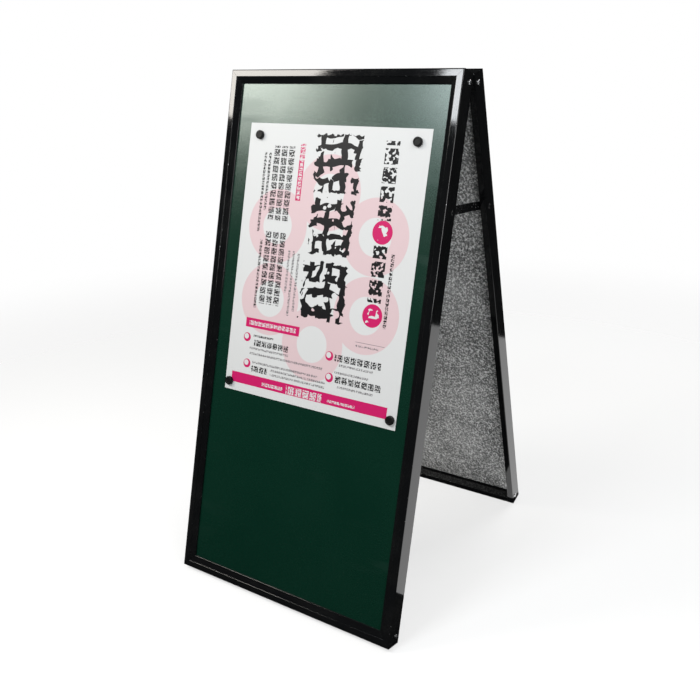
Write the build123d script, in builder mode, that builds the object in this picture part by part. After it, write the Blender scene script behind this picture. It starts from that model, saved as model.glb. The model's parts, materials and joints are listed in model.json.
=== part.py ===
from build123d import *

import os
from math import cos, radians, sin, sqrt

# A free-standing sandwich board. Two framed magnetic boards hang from butt hinges along their
# top edges, and a two-link stay at each side holds them apart. A poster sheet lies on the front
# board under four round magnets.
#
# X runs across the boards, Y from the front panel to the rear panel, and Z is up. The origin is
# on the ground, under the hinge line, midway across. Inside a panel a place is given by how far
# it lies across from the middle, down from the top edge and in from the outer face.

os.makedirs("parts", exist_ok=True)

# panel
panel_width = 600.0
panel_height = 1200.0
frame_depth = 42.0
lean_angle = 15.3
folded_gap = 1.0

# frame extrusion: a hollow box with a sloped lip over the board and a ledge behind it
box_width = 16.0
box_wall = 1.6
front_corner_radius = 3.0
shoulder_radius = 1.0
back_corner_radius = 1.5
lip_width = 13.0
lip_step = 1.5
lip_drop = 8.0
lip_wall = 1.6
lip_edge_radius = 0.7
board_recess = 11.0
ledge_width = 5.0
ledge_wall = 1.6

# board laminate
board_side_gap = 0.5
face_sheet_thickness = 0.5
core_thickness = 2.7
back_sheet_thickness = 0.5

# corner keys and their screws
key_clearance = 0.2
key_leg_length = 45.0
key_depth = 30.0
screw_clearance = 0.05
hole_clearance = 0.15
corner_screw_down = 20.0
corner_screw_depth = 28.0
corner_screw_radius = 2.0
corner_screw_length = 13.0
corner_screw_head_radius = 4.6
corner_screw_head_height = 2.4
corner_screw_head_rounding = 1.2
corner_screw_recess_size = 4.6
corner_screw_recess_width = 1.1
corner_screw_recess_depth = 1.3

# butt hinges
hinge_spacing = 440.0
hinge_length = 76.0
hinge_leaf_thickness = 1.6
hinge_leaf_reach = 30.0
hinge_leaf_corner_radius = 2.0
knuckle_radius = 3.0
knuckle_count = 5
knuckle_gap = 0.4
knuckle_clearance = 0.3
hinge_pin_radius = 1.5
hinge_pin_clearance = 0.05
hinge_pin_head_radius = 2.6
hinge_pin_head_height = 1.2
hinge_screw_spacing = 26.0
hinge_screw_setback = 17.0
hinge_screw_radius = 1.75
hinge_screw_head_radius = 3.4
hinge_screw_length = 12.0
hinge_screw_recess_width = 0.9
hinge_screw_recess_depth = 0.9

# stays
stay_front_down = 277.0
stay_rear_down = 289.0
stay_pivot_depth = 28.0
stay_height = 19.0
stay_thickness = 2.5
stay_side_gap = 1.2
stay_play = 0.1
link_gap = 0.3
rivet_radius = 2.5
rivet_clearance = 0.05
rivet_head_radius = 4.5
rivet_head_height = 1.8
rivet_head_rounding = 1.2
rivet_tail_height = 1.6
washer_radius = 6.0
knee_inner_head_height = 0.8

# poster and magnets
poster_width = 477.0
poster_height = 622.0
poster_thickness = 0.3
poster_shift = 4.5
poster_down = 116.5
magnet_radius = 10.0
magnet_height = 7.5
magnet_rounding = 2.2
magnet_grip_radius = 6.2
magnet_grip_depth = 0.8
magnet_disc_radius = 7.0
magnet_disc_thickness = 4.0
magnet_disc_clearance = 0.15
magnet_disc_recess = 0.2
top_magnet_inset = (31.0, 27.0)
bottom_magnet_inset = (14.0, 20.0)

# sizes that follow from those above
lean = radians(lean_angle)
board_thickness = face_sheet_thickness + core_thickness + back_sheet_thickness
hinge_rise = knuckle_radius + knuckle_clearance
panel_top = (
    (panel_height - back_corner_radius) * cos(lean) - back_corner_radius * sin(lean) + back_corner_radius
)
hinge_height = panel_top + hinge_rise * cos(lean) - folded_gap / 2 * sin(lean)
stile_inner_face = panel_width / 2 - box_width
front_link_station = stay_side_gap + stay_play
rear_link_station = front_link_station + stay_thickness + link_gap


def save(piece, name):
    """Label a finished piece and write its STEP file."""
    piece.part.label = name
    export_step(piece.part, f"parts/{name}.step")


def panel_plane(side):
    """Plane of a panel's inner face, from the middle of its top edge. side is -1 front, +1 rear."""
    outward = Vector(0, side * cos(lean), sin(lean))
    upward = Vector(0, -side * sin(lean), cos(lean))
    origin = Vector(0, 0, hinge_height) - upward * hinge_rise + outward * (folded_gap / 2)
    return Plane(origin=origin, x_dir=(-side, 0, 0), z_dir=outward)


def place(plane, across, down, depth):
    """Point in a panel: across from the middle, down from the top edge, in from the outer face."""
    return plane.from_local_coords(Vector(across, -down, frame_depth - depth))


def direction(plane, across, up, out):
    """Direction in a panel's own axes, as a direction of the whole board."""
    return plane.from_local_coords(Vector(across, up, out)) - plane.origin


def side_plane(plane, hand, down, depth, station):
    """Plane facing across the panel at a station inward from a stile's inner face, its axis outward."""
    origin = place(plane, hand * (stile_inner_face - station), down, depth)
    return Plane(origin=origin, x_dir=plane.z_dir, z_dir=direction(plane, hand, 0, 0))


def facing_plane(plane, across, down, depth):
    """Plane parallel to a panel's outer face, its axis outward."""
    return Plane(origin=place(plane, across, down, depth), x_dir=plane.x_dir, z_dir=plane.z_dir)


# ------------------------------------------------------------------ frame
frame_outline = [
    ((0, 0), back_corner_radius),
    ((box_width, 0), back_corner_radius),
    ((box_width, frame_depth - board_recess - board_thickness - ledge_wall), 0),
    ((box_width + ledge_width, frame_depth - board_recess - board_thickness - ledge_wall), 0),
    ((box_width + ledge_width, frame_depth - board_recess - board_thickness), 0),
    ((box_width, frame_depth - board_recess - board_thickness), 0),
    ((box_width, frame_depth - lip_step - lip_wall), 0),
    ((box_width + lip_width - lip_wall, frame_depth - lip_drop - lip_wall), 0),
    ((box_width + lip_width - lip_wall, frame_depth - board_recess), 0),
    ((box_width + lip_width, frame_depth - board_recess), 0),
    ((box_width + lip_width, frame_depth - lip_drop), lip_edge_radius),
    ((box_width, frame_depth - lip_step), 0),
    ((box_width, frame_depth), shoulder_radius),
    ((0, frame_depth), front_corner_radius),
]


def drill(plane, radius, depth):
    """Cut a round hole into the part in hand, from a plane against its axis."""
    with BuildSketch(plane) as hole:
        Circle(radius)
    extrude(hole.sketch, amount=-depth, mode=Mode.SUBTRACT)


def frame_member(plane, corner, inward, length):
    """Mitred length of the frame extrusion, from one corner of a panel round to the next."""
    start = plane.from_local_coords(Vector(*corner, 0))
    across = direction(plane, *inward, 0)
    along = across.cross(plane.z_dir)
    outline_points = [point for point, radius in frame_outline]
    outline_radii = [radius for point, radius in frame_outline]
    with BuildPart() as member:
        with BuildSketch(Plane(origin=start, x_dir=across, z_dir=along)):
            with BuildLine():
                FilletPolyline(*outline_points, radius=outline_radii, close=True)
            make_face()
            with Locations((box_width / 2, frame_depth / 2)):
                Rectangle(box_width - 2 * box_wall, frame_depth - 2 * box_wall, mode=Mode.SUBTRACT)
        extrude(amount=length)
        split(bisect_by=Plane(origin=start, z_dir=along - across), keep=Keep.TOP)
        split(bisect_by=Plane(origin=start + along * length, z_dir=-along - across), keep=Keep.TOP)
    return member


def stile(plane, side, hand):
    """Upright of a frame, with holes for its corner screws and its stay rivet."""
    corner = (hand * panel_width / 2, -panel_height if hand > 0 else 0)
    stay_down = stay_front_down if side < 0 else stay_rear_down
    with BuildPart() as upright:
        add(frame_member(plane, corner, (-hand, 0), panel_height).part)
        for down in (corner_screw_down, panel_height - corner_screw_down):
            drill(
                side_plane(plane, hand, down, corner_screw_depth, -box_width),
                corner_screw_radius + hole_clearance,
                box_wall,
            )
        drill(
            side_plane(plane, hand, stay_down, stay_pivot_depth, -box_width),
            rivet_radius + rivet_clearance,
            box_width,
        )
    return upright


def hinge_screw_places():
    """Places of the hinge screws: across from the middle, grouped by hinge."""
    return [
        [hand * hinge_spacing / 2 + step * hinge_screw_spacing for step in (-1, 0, 1)]
        for hand in (-1, 1)
    ]


def top_plane(plane, across, setback, rise):
    """Plane on a panel's top edge face, set back from its inner face, its axis up the panel."""
    origin = plane.from_local_coords(Vector(across, rise, setback))
    return Plane(origin=origin, x_dir=plane.x_dir, z_dir=direction(plane, 0, 1, 0))


def top_rail(plane):
    """Top rail of a frame, drilled for the hinge screws."""
    with BuildPart() as rail:
        add(frame_member(plane, (panel_width / 2, 0), (0, -1), panel_width).part)
        for group in hinge_screw_places():
            for across in group:
                drill(
                    top_plane(plane, across, hinge_screw_setback, 0),
                    hinge_screw_radius + screw_clearance,
                    box_wall,
                )
    return rail


def bottom_rail(plane):
    """Bottom rail of a frame, whose lower face the panel stands on."""
    return frame_member(plane, (-panel_width / 2, -panel_height), (0, 1), panel_width)


def corner_keys(plane):
    """Four L-shaped keys inside the corners of a frame, bored for the corner screws."""
    inset = box_wall + key_clearance
    leg_width = box_width - 2 * inset
    base_origin = plane.origin + plane.z_dir * (frame_depth - key_depth) / 2
    key_base = Plane(origin=base_origin, x_dir=plane.x_dir, z_dir=plane.z_dir)
    with BuildPart() as keys:
        for hand in (-1, 1):
            for edge, toward in ((0, -1), (-panel_height, 1)):
                outer_x = hand * (panel_width / 2 - inset)
                outer_y = edge + toward * inset
                with BuildSketch(key_base):
                    with BuildLine():
                        Polyline(
                            (outer_x, outer_y),
                            (outer_x - hand * key_leg_length, outer_y),
                            (outer_x - hand * key_leg_length, outer_y + toward * leg_width),
                            (outer_x - hand * leg_width, outer_y + toward * leg_width),
                            (outer_x - hand * leg_width, outer_y + toward * key_leg_length),
                            (outer_x, outer_y + toward * key_leg_length),
                            close=True,
                        )
                    make_face()
                extrude(amount=key_depth)
        for hand in (-1, 1):
            for down in (corner_screw_down, panel_height - corner_screw_down):
                drill(
                    side_plane(plane, hand, down, corner_screw_depth, -box_width),
                    corner_screw_radius + screw_clearance,
                    box_width,
                )
    return keys


def corner_screw(seat):
    """Cross-recessed pan head screw, its head standing on the seat plane and its shank below it."""
    top = seat.origin + seat.z_dir * corner_screw_head_height
    with BuildPart() as screw:
        with BuildSketch(seat):
            Circle(corner_screw_head_radius)
        extrude(amount=corner_screw_head_height)
        fillet(screw.edges().sort_by(Axis(seat.origin, seat.z_dir))[-1], corner_screw_head_rounding)
        with BuildSketch(seat):
            Circle(corner_screw_radius)
        extrude(amount=-corner_screw_length)
        with BuildSketch(Plane(origin=top, x_dir=seat.x_dir, z_dir=seat.z_dir)):
            Rectangle(corner_screw_recess_size, corner_screw_recess_width)
            Rectangle(corner_screw_recess_width, corner_screw_recess_size)
        extrude(amount=-corner_screw_recess_depth, mode=Mode.SUBTRACT)
    return screw


def corner_screws(plane):
    """Four screws through the stiles into the corner keys."""
    with BuildPart() as screws:
        for hand in (-1, 1):
            for down in (corner_screw_down, panel_height - corner_screw_down):
                add(corner_screw(side_plane(plane, hand, down, corner_screw_depth, -box_width)).part)
    return screws


# ------------------------------------------------------------------ board
def board_layer(plane, depth, thickness):
    """One flat sheet of the board laminate, its front face at a depth in from the outer face."""
    width = panel_width - 2 * (box_width + board_side_gap)
    height = panel_height - 2 * (box_width + board_side_gap)
    with BuildPart() as layer:
        with BuildSketch(facing_plane(plane, 0, panel_height / 2, depth)):
            Rectangle(width, height)
        extrude(amount=-thickness)
    return layer


# ------------------------------------------------------------------ hinges
knuckle_length = (hinge_length - (knuckle_count - 1) * knuckle_gap) / knuckle_count


def knuckle_starts(hand, first):
    """Where each second knuckle of a hinge begins along X, counting from the first given."""
    base = hand * hinge_spacing / 2 - hinge_length / 2
    return [base + index * (knuckle_length + knuckle_gap) for index in range(first, knuckle_count, 2)]


def hinge_leaf(plane, side, hand):
    """Flat hinge leaf on a panel's top edge, with its share of the knuckles round the pin."""
    middle = hand * hinge_spacing / 2
    leaf_start = folded_gap / 2 + knuckle_radius
    first_knuckle = 0 if side < 0 else 1
    across_world = plane.x_dir.X
    with BuildPart() as leaf:
        with BuildSketch(top_plane(plane, across_world * middle, (leaf_start + hinge_leaf_reach) / 2, 0)):
            RectangleRounded(hinge_length, hinge_leaf_reach - leaf_start, hinge_leaf_corner_radius)
        extrude(amount=hinge_leaf_thickness)
        for start in knuckle_starts(hand, first_knuckle):
            barrel = Plane(origin=(start, 0, hinge_height), x_dir=plane.z_dir, z_dir=(1, 0, 0))
            up_sign = 1 if barrel.y_dir.dot(direction(plane, 0, 1, 0)) > 0 else -1
            with BuildSketch(barrel):
                Circle(knuckle_radius)
                with Locations(
                    (
                        (folded_gap / 2 + 2 * knuckle_radius) / 2,
                        -up_sign * (hinge_rise - hinge_leaf_thickness / 2),
                    )
                ):
                    Rectangle(folded_gap / 2 + 2 * knuckle_radius, hinge_leaf_thickness)
                Circle(hinge_pin_radius + hinge_pin_clearance, mode=Mode.SUBTRACT)
            extrude(amount=knuckle_length)
        for step in (-1, 0, 1):
            across = across_world * middle + step * hinge_screw_spacing
            seat = top_plane(plane, across, hinge_screw_setback, hinge_leaf_thickness)
            with Locations(seat):
                CounterSinkHole(
                    hinge_screw_radius + screw_clearance,
                    hinge_screw_head_radius + screw_clearance,
                    depth=hinge_leaf_thickness,
                )
    return leaf


def hinge_screw(seat):
    """Countersunk cross-recessed screw, its head flush with the seat plane."""
    head_depth = hinge_screw_head_radius - hinge_screw_radius
    with BuildPart() as screw:
        with BuildSketch(Plane(origin=seat.origin, x_dir=seat.x_dir, z_dir=seat.x_dir.cross(seat.z_dir))):
            with BuildLine():
                Polyline(
                    (0, 0),
                    (hinge_screw_head_radius, 0),
                    (hinge_screw_radius, -head_depth),
                    (hinge_screw_radius, -hinge_screw_length),
                    (0, -hinge_screw_length),
                    close=True,
                )
            make_face()
        revolve(axis=Axis(seat.origin, seat.z_dir))
        with BuildSketch(seat):
            Rectangle(hinge_screw_head_radius, hinge_screw_recess_width)
            Rectangle(hinge_screw_recess_width, hinge_screw_head_radius)
        extrude(amount=-hinge_screw_recess_depth, mode=Mode.SUBTRACT)
    return screw


def hinge_screws(plane):
    """Six screws through the hinge leaves into the top rail's wall."""
    with BuildPart() as screws:
        for group in hinge_screw_places():
            for across in group:
                add(hinge_screw(top_plane(plane, across, hinge_screw_setback, hinge_leaf_thickness)).part)
    return screws


def hinge_pin(hand):
    """Headed pin through one hinge's knuckles."""
    start = hand * hinge_spacing / 2 - hinge_length / 2
    with BuildPart() as pin:
        with BuildSketch(Plane(origin=(start, 0, hinge_height), z_dir=(1, 0, 0))):
            Circle(hinge_pin_radius)
        extrude(amount=hinge_length)
        for end, toward in ((start, -1), (start + hinge_length, 1)):
            with BuildSketch(Plane(origin=(end, 0, hinge_height), z_dir=(toward, 0, 0))):
                Circle(hinge_pin_head_radius)
            extrude(amount=hinge_pin_head_height)
    return pin


# ------------------------------------------------------------------ stays
front_panel = panel_plane(-1)
rear_panel = panel_plane(1)


def knee_split():
    """Lengths of the front and rear links, so that the knee lies midway between the folded panels."""
    front_pivot = place(front_panel, 0, stay_front_down, stay_pivot_depth)
    rear_pivot = place(rear_panel, 0, stay_rear_down, stay_pivot_depth)
    span = (rear_pivot - front_pivot).length
    offset = frame_depth - stay_pivot_depth + folded_gap / 2
    drop = stay_rear_down - stay_front_down
    # two right triangles of the same width whose upright sides differ by the drop
    # and whose slanted sides add up to the span
    height = (span * sqrt(1 - 4 * offset**2 / (span**2 - drop**2)) + drop) / 2
    front_length = sqrt(height**2 + offset**2)
    return front_length, span - front_length


front_link_length, rear_link_length = knee_split()


def stay_plane(hand, station):
    """Plane facing across at a station inward from the stiles, from the front pivot along the stay."""
    front_pivot = place(front_panel, 0, stay_front_down, stay_pivot_depth)
    rear_pivot = place(rear_panel, 0, stay_rear_down, stay_pivot_depth)
    along = (rear_pivot - front_pivot).normalized()
    origin = front_pivot + Vector(hand * (stile_inner_face - station), 0, 0)
    return Plane(origin=origin, x_dir=along, z_dir=(1, 0, 0))


def stay_link(hand, station, start, length):
    """Flat link with round ends and a hole at each, from a distance along the stay."""
    outer = stay_plane(hand, station)
    with BuildPart() as link:
        with BuildSketch(outer):
            with Locations((start + length / 2, 0)):
                SlotCenterToCenter(length, stay_height)
            with Locations((start, 0), (start + length, 0)):
                Circle(rivet_radius + rivet_clearance, mode=Mode.SUBTRACT)
        extrude(amount=-hand * stay_thickness)
    return link


def knee_half(hand, station_head, station_start, station_end):
    """Half of the knee rivet: a shank between two stations and a head on the far side of its link."""
    head_high = max(station_head, station_start)
    head_low = min(station_head, station_start)
    with BuildPart() as half:
        with BuildSketch(stay_plane(hand, min(station_start, station_end))):
            with Locations((front_link_length, 0)):
                Circle(rivet_radius)
        extrude(amount=-hand * abs(station_end - station_start))
        with BuildSketch(stay_plane(hand, head_low)):
            with Locations((front_link_length, 0)):
                Circle(rivet_head_radius)
        extrude(amount=-hand * (head_high - head_low))
    return half


def end_rivet(outer, length):
    """Rivet from a plane on the stile's side: a round head on each side and a shank between them."""
    axis = Axis(outer.origin, outer.z_dir)
    inner = Plane(origin=outer.origin - outer.z_dir * length, x_dir=outer.x_dir, z_dir=outer.z_dir)
    with BuildPart() as rivet:
        with BuildSketch(outer):
            Circle(rivet_head_radius)
        extrude(amount=rivet_tail_height)
        fillet(rivet.edges().sort_by(axis)[-1], rivet_head_rounding)
        with BuildSketch(outer):
            Circle(rivet_radius)
        extrude(amount=-length)
        with BuildSketch(inner):
            Circle(rivet_head_radius)
        extrude(amount=-rivet_head_height)
        fillet(rivet.edges().sort_by(axis)[0], rivet_head_rounding)
    return rivet


def end_rivets(plane, down, station):
    """Pair of rivets through the stiles, which the links at a station turn on."""
    with BuildPart() as rivets:
        for hand in (-1, 1):
            outer = side_plane(plane, hand, down, stay_pivot_depth, -box_width)
            add(end_rivet(outer, box_width + station + stay_thickness + stay_play).part)
    return rivets


def spacers(plane, down, station):
    """Pair of round washers or spacers that fill the gap from the stiles to their links."""
    with BuildPart() as rings:
        for hand in (-1, 1):
            with BuildSketch(side_plane(plane, hand, down, stay_pivot_depth, 0)):
                Circle(washer_radius)
                Circle(rivet_radius + rivet_clearance, mode=Mode.SUBTRACT)
            extrude(amount=-(station - stay_play))
    return rings


# ------------------------------------------------------------------ poster and magnets
def poster():
    """Printed sheet, flat on the front board's face."""
    middle_down = poster_down + poster_height / 2
    with BuildPart() as sheet:
        with BuildSketch(facing_plane(front_panel, poster_shift, middle_down, board_recess)):
            Rectangle(poster_width, poster_height)
        extrude(amount=poster_thickness)
    return sheet


magnet_places = {
    "top_left": (
        poster_shift - poster_width / 2 + top_magnet_inset[0],
        poster_down + top_magnet_inset[1],
    ),
    "top_right": (
        poster_shift + poster_width / 2 - top_magnet_inset[0],
        poster_down + top_magnet_inset[1],
    ),
    "bottom_left": (
        poster_shift - poster_width / 2 + bottom_magnet_inset[0],
        poster_down + poster_height - bottom_magnet_inset[1],
    ),
    "bottom_right": (
        poster_shift + poster_width / 2 - bottom_magnet_inset[0],
        poster_down + poster_height - bottom_magnet_inset[1],
    ),
}


def magnet_cap(across, down):
    """Round plastic cap with a dished top and a pocket underneath for its disc."""
    base = facing_plane(front_panel, across, down, board_recess - poster_thickness)
    crown = facing_plane(front_panel, across, down, board_recess - poster_thickness - magnet_height)
    with BuildPart() as cap:
        with BuildSketch(base):
            Circle(magnet_radius)
        extrude(amount=magnet_height)
        fillet(cap.edges().sort_by(Axis(base.origin, base.z_dir))[-1], magnet_rounding)
        with BuildSketch(crown):
            Circle(magnet_grip_radius)
        extrude(amount=-magnet_grip_depth, mode=Mode.SUBTRACT)
        with BuildSketch(base):
            Circle(magnet_disc_radius + magnet_disc_clearance)
        extrude(amount=magnet_disc_thickness + magnet_disc_recess, mode=Mode.SUBTRACT)
    return cap


def magnet_disc(across, down):
    """Ferrite disc in a magnet cap's pocket."""
    base = facing_plane(front_panel, across, down, board_recess - poster_thickness - magnet_disc_recess)
    with BuildPart() as disc:
        with BuildSketch(base):
            Circle(magnet_disc_radius)
        extrude(amount=magnet_disc_thickness)
    return disc


# ------------------------------------------------------------------ build
hands = {"left": -1, "right": 1}

for panel_name, side, panel in (("front", -1, front_panel), ("rear", 1, rear_panel)):
    for hand_name, hand in hands.items():
        # left and right are as seen from in front of the whole board
        panel_hand = hand * panel.x_dir.X
        save(stile(panel, side, panel_hand), f"{panel_name}_stile_{hand_name}")
        save(hinge_leaf(panel, side, hand), f"{panel_name}_hinge_leaf_{hand_name}")
    save(top_rail(panel), f"{panel_name}_rail_top")
    save(bottom_rail(panel), f"{panel_name}_rail_bottom")
    save(corner_keys(panel), f"{panel_name}_corner_keys")
    save(corner_screws(panel), f"{panel_name}_corner_screws")
    save(hinge_screws(panel), f"{panel_name}_hinge_screws")
    core_depth = board_recess + face_sheet_thickness
    back_depth = core_depth + core_thickness
    save(board_layer(panel, board_recess, face_sheet_thickness), f"{panel_name}_board_face")
    save(board_layer(panel, core_depth, core_thickness), f"{panel_name}_board_core")
    save(board_layer(panel, back_depth, back_sheet_thickness), f"{panel_name}_board_back")

save(end_rivets(front_panel, stay_front_down, front_link_station), "front_stay_rivets")
save(end_rivets(rear_panel, stay_rear_down, rear_link_station), "rear_stay_rivets")
save(spacers(front_panel, stay_front_down, front_link_station), "front_stay_washers")
save(spacers(rear_panel, stay_rear_down, rear_link_station), "rear_stay_spacers")

knee_front_end = front_link_station + stay_thickness + link_gap / 4
knee_rear_start = rear_link_station - link_gap / 4
for hand_name, hand in hands.items():
    save(hinge_pin(hand), f"hinge_pin_{hand_name}")
    save(stay_link(hand, front_link_station, 0, front_link_length), f"stay_front_link_{hand_name}")
    save(
        stay_link(hand, rear_link_station, front_link_length, rear_link_length),
        f"stay_rear_link_{hand_name}",
    )
    save(
        knee_half(hand, front_link_station - knee_inner_head_height, front_link_station, knee_front_end),
        f"stay_knee_outer_half_{hand_name}",
    )
    save(
        knee_half(
            hand,
            rear_link_station + stay_thickness + rivet_head_height,
            rear_link_station + stay_thickness,
            knee_rear_start,
        ),
        f"stay_knee_inner_half_{hand_name}",
    )

save(poster(), "poster_sheet")
for corner_name, (across, down) in magnet_places.items():
    save(magnet_cap(across, down), f"magnet_cap_{corner_name}")
    save(magnet_disc(across, down), f"magnet_disc_{corner_name}")
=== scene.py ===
"""Looks of a folding sandwich board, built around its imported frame.

Two framed steel boards hang from butt hinges along their top edges, and a two-link stay at each
side holds them apart. A printed sheet lies on the front board under four round magnets.

Everything is in metres. A place in a panel is across its width, up from its top edge and out
from its inner face, and the panels' own axes come from the frame's joints and nodes.
"""

import json
import logging
from dataclasses import dataclass, field, replace
from enum import Enum
from math import atan2, cos, degrees, pi, radians, sin
from typing import Any, Iterable, Sequence

import bmesh
import bpy
from mathutils import Matrix, Vector


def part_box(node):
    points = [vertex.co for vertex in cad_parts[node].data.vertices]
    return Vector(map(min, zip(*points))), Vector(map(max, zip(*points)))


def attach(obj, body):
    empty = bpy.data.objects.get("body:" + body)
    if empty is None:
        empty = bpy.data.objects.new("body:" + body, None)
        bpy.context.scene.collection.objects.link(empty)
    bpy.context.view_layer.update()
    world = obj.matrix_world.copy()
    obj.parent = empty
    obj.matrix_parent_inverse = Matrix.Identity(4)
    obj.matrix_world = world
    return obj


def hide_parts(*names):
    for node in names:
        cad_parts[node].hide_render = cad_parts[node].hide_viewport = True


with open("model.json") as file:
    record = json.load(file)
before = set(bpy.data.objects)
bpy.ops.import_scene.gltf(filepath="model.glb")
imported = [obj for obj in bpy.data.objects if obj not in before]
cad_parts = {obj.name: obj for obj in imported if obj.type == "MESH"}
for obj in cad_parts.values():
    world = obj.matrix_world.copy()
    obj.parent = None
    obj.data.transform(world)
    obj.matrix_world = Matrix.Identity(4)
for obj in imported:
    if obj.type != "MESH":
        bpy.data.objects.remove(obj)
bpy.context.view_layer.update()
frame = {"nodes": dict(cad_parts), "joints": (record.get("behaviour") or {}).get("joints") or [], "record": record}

log = logging.getLogger("sandwich_board")

MM = 0.001
UM = 0.001 * MM
HANDS = {"left": -1, "right": 1}
CORNERS = ("top_left", "top_right", "bottom_left", "bottom_right")
X_AXIS = Vector((1.0, 0.0, 0.0)).freeze()
Y_AXIS = Vector((0.0, 1.0, 0.0)).freeze()
Z_AXIS = Vector((0.0, 0.0, 1.0)).freeze()
WHITE = (1.0, 1.0, 1.0)
NOISE_MIDDLE = 0.5
FLAT_ENOUGH = 0.9
WELD = 1e-7
SAME_PLACE = 1e-6

Colour = tuple[float, float, float]


class Slot(Enum):
    """Material slots that the design's record names."""

    FRAME = "frame_black"
    BOARD = "board_green"
    CORE = "board_core"
    BACK = "board_back"
    KEY = "key_metal"
    SCREW = "screw_steel"
    HINGE = "hinge_black"
    STAY = "stay_black"
    PAPER = "poster_paper"
    MAGNET = "magnet_black"
    FERRITE = "magnet_ferrite"


# ---------------------------------------------------------------- shader arithmetic


class Value:
    """A number in a material, so that shader maths reads as arithmetic."""

    def __init__(self, graph: "Graph", socket: bpy.types.NodeSocket) -> None:
        """Wrap one output socket of a node in the graph."""
        self.graph = graph
        self.socket = socket

    def __add__(self, other: "Value | float") -> "Value":
        """Sum."""
        return self.graph.math("ADD", self, other)

    def __sub__(self, other: "Value | float") -> "Value":
        """Difference."""
        return self.graph.math("SUBTRACT", self, other)

    def __rsub__(self, other: float) -> "Value":
        """Difference, from a plain number."""
        return self.graph.math("SUBTRACT", other, self)

    def __mul__(self, other: "Value | float") -> "Value":
        """Product."""
        return self.graph.math("MULTIPLY", self, other)

    def __truediv__(self, other: "Value | float") -> "Value":
        """Quotient."""
        return self.graph.math("DIVIDE", self, other)

    def __lt__(self, other: "Value | float") -> "Value":
        """One where this is less."""
        return self.graph.math("LESS_THAN", self, other)

    def __gt__(self, other: "Value | float") -> "Value":
        """One where this is greater."""
        return self.graph.math("GREATER_THAN", self, other)

    __radd__ = __add__
    __rmul__ = __mul__

    def near(self, middle: float, reach: float) -> "Value":
        """One within reach of the middle, and zero beyond."""
        return self.graph.math("COMPARE", self, middle, reach)

    def highest(self, other: "Value | float") -> "Value":
        """The larger of the two."""
        return self.graph.math("MAXIMUM", self, other)

    def fraction(self) -> "Value":
        """What is left above the whole number below."""
        return self.graph.math("FRACT", self)

    def ramp(self, start: float, end: float) -> "Value":
        """Smooth rise from zero at start to one at end."""
        sockets = {0: self, 1: start, 2: end}
        node = self.graph.node("ShaderNodeMapRange", {"interpolation_type": "SMOOTHSTEP"}, sockets)
        return Value(self.graph, node.outputs[0])


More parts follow.
